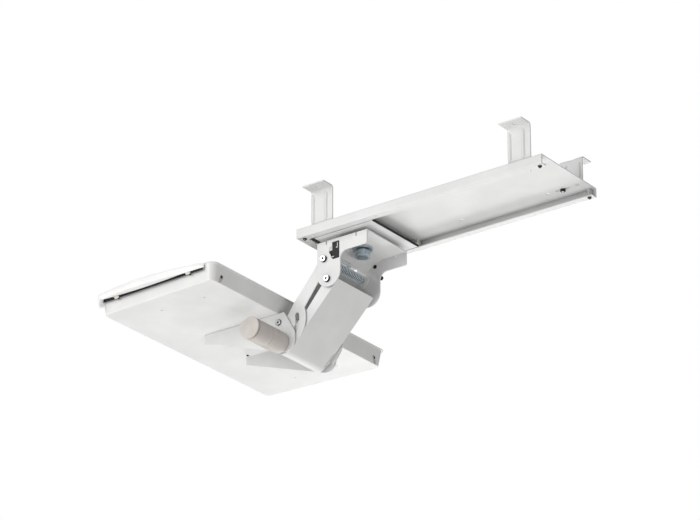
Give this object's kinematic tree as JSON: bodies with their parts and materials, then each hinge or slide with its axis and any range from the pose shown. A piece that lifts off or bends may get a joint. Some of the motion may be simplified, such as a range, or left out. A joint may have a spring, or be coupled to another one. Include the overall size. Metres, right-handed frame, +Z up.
{
  "type": "keyboard tray",
  "caption": "Under-desk keyboard tray: a steel pan on a levelling arm that slides along a track, swivels, lifts and tilts.",
  "frame": {"origin": "middle of the four desk screws, on the underside of the desk", "axes": "+X to the right hand of a person at the desk, +Y to the back of the desk along the track, +Z up"},
  "size_m": [0.5592, 0.8612, 0.2932],
  "materials": {
    "steel_white": "satin powder coat",
    "zinc": "zinc plated, slightly blue",
    "bright_steel": "bright nickel plate",
    "black_plastic": "matt moulded plastic",
    "knob_plastic": "fine grained moulded plastic",
    "white_plastic": "satin, the colour of the powder coat",
    "nylon": "natural nylon"
  },
  "bodies": {
    "track": {"track_channel": "steel_white", "right_front_bracket": "steel_white", "left_front_bracket": "steel_white", "right_rear_bracket": "steel_white", "left_rear_bracket": "steel_white", "bracket_screws": "zinc", "bracket_nuts": "zinc", "stop_posts": "zinc", "stop_screws": "zinc"},
    "carriage": {"carriage_plate": "steel_white", "carriage_glides": "nylon", "rear_wiper": "black_plastic", "swivel_washer": "nylon", "swivel_bolt": "zinc", "hub_flange": "zinc", "hub_nut": "zinc"},
    "head": {"head_bracket": "steel_white", "upper_pivot_rod": "zinc", "lower_pivot_rod": "zinc", "pivot_bolts": "bright_steel", "torsion_spring": "zinc", "spring_sleeve": "black_plastic", "spring_bar": "bright_steel", "spring_bar_screws": "bright_steel", "stop_block": "black_plastic", "side_plate_screw": "black_plastic", "hole_plug": "black_plastic"},
    "lower_link": {"arm_cover": "steel_white", "arm_bushes": "nylon"},
    "upper_link": {"right_upper_link": "steel_white", "left_upper_link": "steel_white", "link_web": "steel_white", "link_bushes": "nylon"},
    "level_head": {"right_level_plate": "steel_white", "left_level_plate": "steel_white", "level_rod": "zinc", "level_spacer": "zinc"},
    "tray": {"tray_bracket": "steel_white", "ear_screws": "zinc", "bracket_fixings": "black_plastic", "clamp_bolt": "zinc", "tray_pan": "steel_white", "right_side_rail": "white_plastic", "left_side_rail": "white_plastic", "knob_sleeve": "knob_plastic"},
    "knob": {"knob_grip": "knob_plastic", "knob_cap": "knob_plastic"}
  },
  "joints": [
    {"name": "track_slide", "type": "slide", "parent": "track", "child": "carriage", "axis": [0, 1, 0], "range_m": [-0.008, 0.36]},
    {"name": "head_swivel", "type": "hinge", "parent": "carriage", "child": "head", "pos_m": [0, -0.1853, -0.095], "axis": [0, 0, 1], "continuous": true},
    {"name": "arm_lift", "type": "hinge", "parent": "head", "child": "lower_link", "pos_m": [0, -0.2187, -0.1715], "axis": [-1, 0, 0], "range_deg": [-16, 19]},
    {"name": "upper_link_swing", "type": "hinge", "parent": "head", "child": "upper_link", "pos_m": [0, -0.2262, -0.1305], "axis": [-1, 0, 0], "range_deg": [-16, 19]},
    {"name": "level_head_turn", "type": "hinge", "parent": "lower_link", "child": "level_head", "pos_m": [0, -0.323, -0.27222], "axis": [-1, 0, 0], "range_deg": [-19, 16]},
    {"name": "tray_tilt", "type": "hinge", "parent": "level_head", "child": "tray", "pos_m": [0, -0.323, -0.27222], "axis": [-1, 0, 0], "range_deg": [-15, 8]},
    {"name": "knob_turn", "type": "hinge", "parent": "tray", "child": "knob", "pos_m": [0, -0.323, -0.27222], "axis": [1, 0, 0], "range_deg": [-180, 180]}
  ],
  "couplings": [
    {"joint": "upper_link_swing", "follows": "arm_lift", "ratio": 1},
    {"joint": "level_head_turn", "follows": "arm_lift", "ratio": -1}
  ]
}
